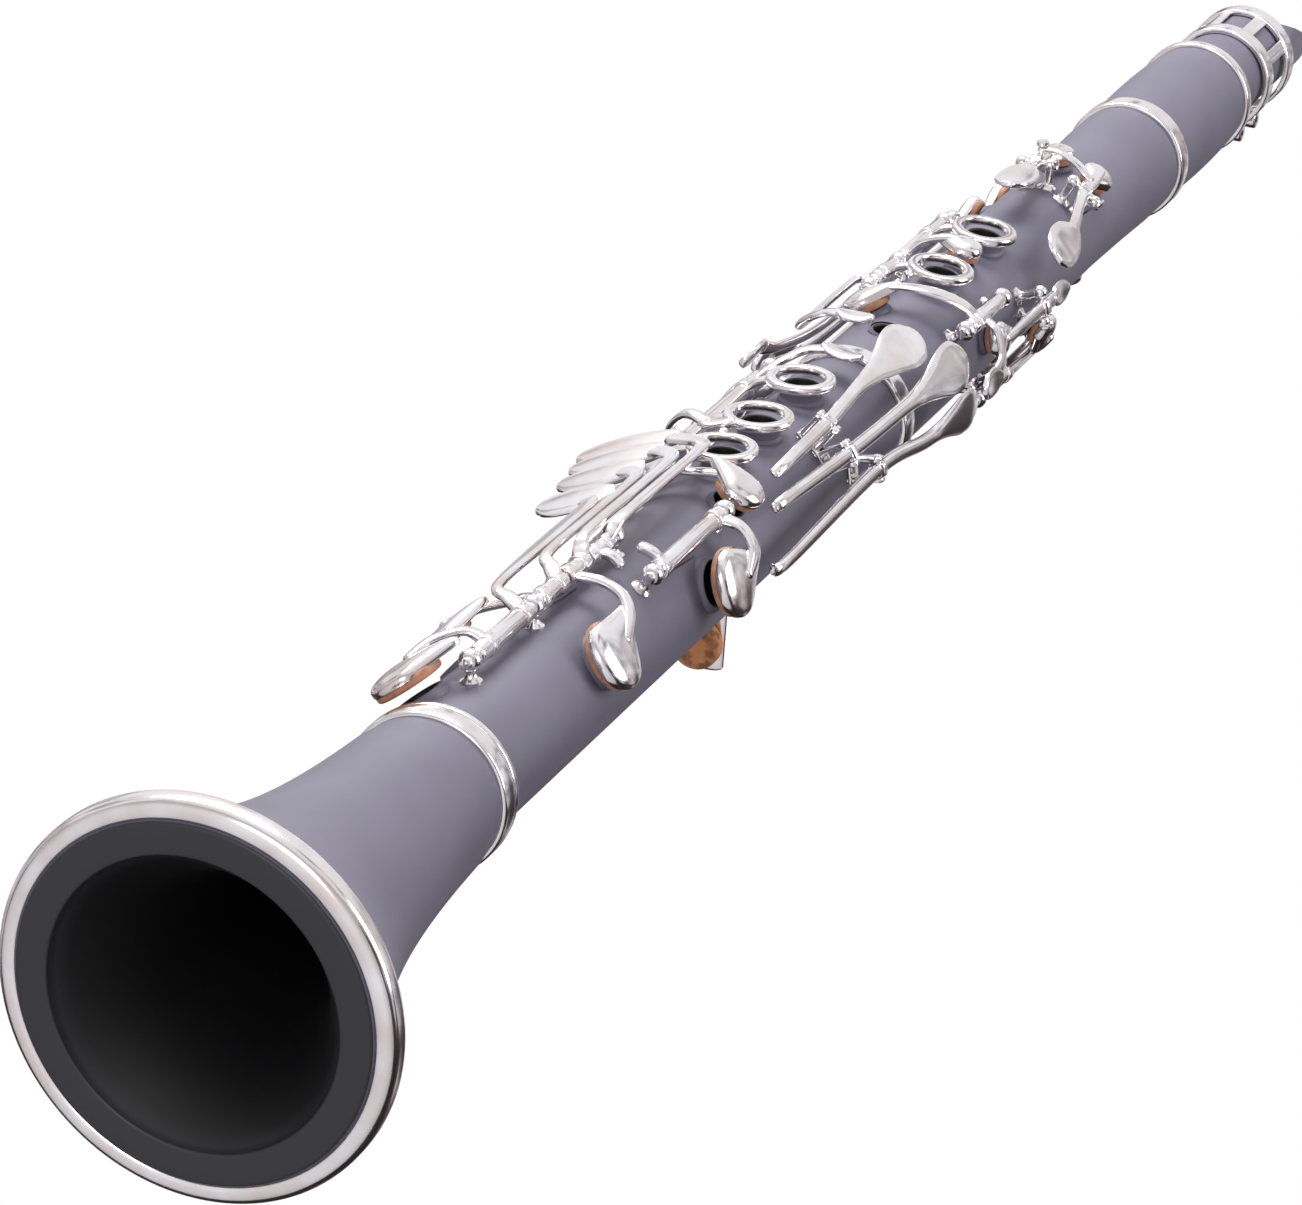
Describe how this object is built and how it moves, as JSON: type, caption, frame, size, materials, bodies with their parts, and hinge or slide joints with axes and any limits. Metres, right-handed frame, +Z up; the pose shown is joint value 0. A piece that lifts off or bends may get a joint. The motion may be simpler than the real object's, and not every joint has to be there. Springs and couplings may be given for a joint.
{
  "type": "clarinet",
  "caption": "B-flat clarinet with matte black body, flared bell, nickel-plated Boehm keywork, rings, pads, reed and ligature, standing on its bell.",
  "frame": {"origin": "centre of the bell mouth, on the plane that the bell stands on", "axes": "+Z up the bore to the mouthpiece tip, -Y the front with the finger rings, +X the player's left side"},
  "size_m": [0.079, 0.079, 0.67],
  "materials": {
    "body_plastic": "matte black moulded ABS with a fine brushed sheen",
    "nickel_plate": "polished nickel plate",
    "pad_skin": "tan skin pad",
    "cork": "cork",
    "cane": "scraped cane"
  },
  "bodies": {
    "body": {"bell": "body_plastic", "bell_rim_ring": "nickel_plate", "bell_socket_ring": "nickel_plate", "lower_joint": "body_plastic", "joint_ring": "nickel_plate", "upper_joint": "body_plastic", "barrel": "body_plastic", "barrel_lower_ring": "nickel_plate", "barrel_upper_ring": "nickel_plate", "mouthpiece": "body_plastic", "reed": "cane", "ligature": "nickel_plate", "ligature_screw_low": "nickel_plate", "ligature_screw_high": "nickel_plate", "bell_tenon_cork": "cork", "middle_tenon_cork": "cork", "barrel_tenon_cork": "cork", "mouthpiece_cork": "cork", "thumb_rest": "nickel_plate", "thumb_rest_cork": "cork", "little_finger_rod": "nickel_plate", "f_sharp_rod": "nickel_plate", "lower_ring_rod": "nickel_plate", "right_sliver_rod": "nickel_plate", "left_lever_saddle": "nickel_plate", "left_f_saddle": "nickel_plate", "upper_ring_rod": "nickel_plate", "c_sharp_rod": "nickel_plate", "thumb_rod": "nickel_plate", "throat_a_saddle": "nickel_plate", "throat_g_sharp_saddle": "nickel_plate", "register_saddle": "nickel_plate", "left_sliver_saddle": "nickel_plate", "trill_saddle_low": "nickel_plate", "trill_saddle_high": "nickel_plate"},
    "low_e_key": {"low_e_key": "nickel_plate", "low_e_pad": "pad_skin"},
    "low_f_key": {"low_f_key": "nickel_plate"},
    "a_flat_key": {"a_flat_key": "nickel_plate", "a_flat_pad": "pad_skin"},
    "f_sharp_touch": {"f_sharp_touch": "nickel_plate"},
    "low_f_sharp_key": {"low_f_sharp_key": "nickel_plate", "low_f_sharp_pad": "pad_skin"},
    "lower_ring_key": {"lower_ring_key": "nickel_plate"},
    "right_sliver_key": {"right_sliver_key": "nickel_plate"},
    "left_f_sharp_lever": {"left_f_sharp_lever": "nickel_plate"},
    "left_e_lever": {"left_e_lever": "nickel_plate"},
    "left_f_lever": {"left_f_lever": "nickel_plate"},
    "upper_ring_key": {"upper_ring_key": "nickel_plate"},
    "middle_ring_key": {"middle_ring_key": "nickel_plate"},
    "c_sharp_key": {"c_sharp_key": "nickel_plate"},
    "thumb_ring_key": {"thumb_ring_key": "nickel_plate"},
    "throat_a_key": {"throat_a_key": "nickel_plate"},
    "throat_g_sharp_key": {"throat_g_sharp_key": "nickel_plate"},
    "register_key": {"register_key": "nickel_plate"},
    "left_sliver_key": {"left_sliver_key": "nickel_plate"},
    "trill_key_1": {"trill_key_1": "nickel_plate"},
    "trill_key_2": {"trill_key_2": "nickel_plate"},
    "trill_key_3": {"trill_key_3": "nickel_plate"},
    "trill_key_4": {"trill_key_4": "nickel_plate"}
  },
  "joints": [
    {"name": "low_e_press", "type": "hinge", "parent": "body", "child": "low_e_key", "pos_m": [-0.00198, -0.0188, 0.13608], "axis": [0, 0, -1], "range_deg": [0, 9], "stiffness_Nm_per_rad": 0.02, "springref_deg": -20.05},
    {"name": "low_f_press", "type": "hinge", "parent": "body", "child": "low_f_key", "pos_m": [-0.00198, -0.0188, 0.15939], "axis": [0, 0, -1], "range_deg": [0, 8], "stiffness_Nm_per_rad": 0.02, "springref_deg": -20.05},
    {"name": "a_flat_press", "type": "hinge", "parent": "body", "child": "a_flat_key", "pos_m": [-0.00198, -0.0188, 0.1716], "axis": [0, 0, -1], "range_deg": [0, 7], "stiffness_Nm_per_rad": 0.02, "springref_deg": -20.05},
    {"name": "f_sharp_touch_press", "type": "hinge", "parent": "body", "child": "f_sharp_touch", "pos_m": [-0.00198, -0.0188, 0.18337], "axis": [0, 0, -1], "range_deg": [0, 7.2]},
    {"name": "low_f_sharp_press", "type": "hinge", "parent": "body", "child": "low_f_sharp_key", "pos_m": [0.01029, -0.01585, 0.20268], "axis": [0, 0, 1], "range_deg": [0, 7], "stiffness_Nm_per_rad": 0.02, "springref_deg": -20.05},
    {"name": "lower_ring_press", "type": "hinge", "parent": "body", "child": "lower_ring_key", "pos_m": [-0.01313, -0.0136, 0.26373], "axis": [0, 0, 1], "range_deg": [0, 4], "stiffness_Nm_per_rad": 0.02, "springref_deg": -20.05},
    {"name": "right_sliver_press", "type": "hinge", "parent": "body", "child": "right_sliver_key", "pos_m": [-0.01727, -0.00769, 0.27039], "axis": [0, 0, 1], "range_deg": [0, 6], "stiffness_Nm_per_rad": 0.02, "springref_deg": -20.05},
    {"name": "left_f_sharp_lever_press", "type": "hinge", "parent": "body", "child": "left_f_sharp_lever", "pos_m": [0.01229, -0.01691, 0.27705], "axis": [-0.809, -0.5878, 0], "range_deg": [0, 2.2]},
    {"name": "left_e_lever_press", "type": "hinge", "parent": "body", "child": "left_e_lever", "pos_m": [0.01772, -0.01107, 0.27705], "axis": [-0.5299, -0.848, 0], "range_deg": [0, 2.2]},
    {"name": "left_f_lever_press", "type": "hinge", "parent": "body", "child": "left_f_lever", "pos_m": [0.02058, -0.00363, 0.28926], "axis": [-0.1736, -0.9848, 0], "range_deg": [0, 2.2]},
    {"name": "upper_ring_press", "type": "hinge", "parent": "body", "child": "upper_ring_key", "pos_m": [-0.01183, -0.01409, 0.40246], "axis": [0, 0, 1], "range_deg": [0, 4], "stiffness_Nm_per_rad": 0.02, "springref_deg": -20.05},
    {"name": "middle_ring_press", "type": "hinge", "parent": "body", "child": "middle_ring_key", "pos_m": [-0.01183, -0.01409, 0.37698], "axis": [0, 0, 1], "range_deg": [0, 4.2]},
    {"name": "c_sharp_press", "type": "hinge", "parent": "body", "child": "c_sharp_key", "pos_m": [0.01469, -0.01107, 0.37267], "axis": [0, 0, 1], "range_deg": [0, 7], "stiffness_Nm_per_rad": 0.02, "springref_deg": -20.05},
    {"name": "thumb_ring_press", "type": "hinge", "parent": "body", "child": "thumb_ring_key", "pos_m": [0.01133, 0.0145, 0.40442], "axis": [0, 0, 1], "range_deg": [0, 4.2]},
    {"name": "throat_a_press", "type": "hinge", "parent": "body", "child": "throat_a_key", "pos_m": [-0.00209, -0.01989, 0.45538], "axis": [0.9945, -0.1045, 0], "range_deg": [0, 6], "stiffness_Nm_per_rad": 0.02, "springref_deg": -20.05},
    {"name": "throat_g_sharp_press", "type": "hinge", "parent": "body", "child": "throat_g_sharp_key", "pos_m": [0.01176, -0.01618, 0.45244], "axis": [0.809, 0.5878, 0], "range_deg": [0, 6], "stiffness_Nm_per_rad": 0.02, "springref_deg": -20.05},
    {"name": "register_press", "type": "hinge", "parent": "body", "child": "register_key", "pos_m": [0, 0.02, 0.44656], "axis": [-1, 0, 0], "range_deg": [0, 5], "stiffness_Nm_per_rad": 0.02, "springref_deg": -20.05},
    {"name": "left_sliver_press", "type": "hinge", "parent": "body", "child": "left_sliver_key", "pos_m": [0.01956, -0.00416, 0.40246], "axis": [-0.2079, -0.9781, 0], "range_deg": [0, 6], "stiffness_Nm_per_rad": 0.02, "springref_deg": -20.05},
    {"name": "trill_1_press", "type": "hinge", "parent": "body", "child": "trill_key_1", "pos_m": [-0.01726, -0.00842, 0.4005], "axis": [0.4384, -0.8988, 0], "range_deg": [0, 3.2], "stiffness_Nm_per_rad": 0.02, "springref_deg": -20.05},
    {"name": "trill_2_press", "type": "hinge", "parent": "body", "child": "trill_key_2", "pos_m": [-0.01885, -0.00366, 0.41226], "axis": [0.1908, -0.9816, 0], "range_deg": [0, 3.2], "stiffness_Nm_per_rad": 0.02, "springref_deg": -20.05},
    {"name": "trill_3_press", "type": "hinge", "parent": "body", "child": "trill_key_3", "pos_m": [-0.01915, 0.00134, 0.4005], "axis": [-0.0698, -0.9976, 0], "range_deg": [0, 3.2], "stiffness_Nm_per_rad": 0.02, "springref_deg": -20.05},
    {"name": "trill_4_press", "type": "hinge", "parent": "body", "child": "trill_key_4", "pos_m": [-0.01815, 0.00625, 0.41226], "axis": [-0.3256, -0.9455, 0], "range_deg": [0, 3.2], "stiffness_Nm_per_rad": 0.02, "springref_deg": -20.05}
  ],
  "couplings": [
    {"joint": "left_e_lever_press", "follows": "low_e_press", "ratio": 0.22222},
    {"joint": "left_f_lever_press", "follows": "low_f_press", "ratio": 0.25},
    {"joint": "f_sharp_touch_press", "follows": "low_f_sharp_press", "ratio": 1},
    {"joint": "left_f_sharp_lever_press", "follows": "low_f_sharp_press", "ratio": 0.28571},
    {"joint": "thumb_ring_press", "follows": "upper_ring_press", "ratio": 1},
    {"joint": "middle_ring_press", "follows": "lower_ring_press", "ratio": 1}
  ]
}
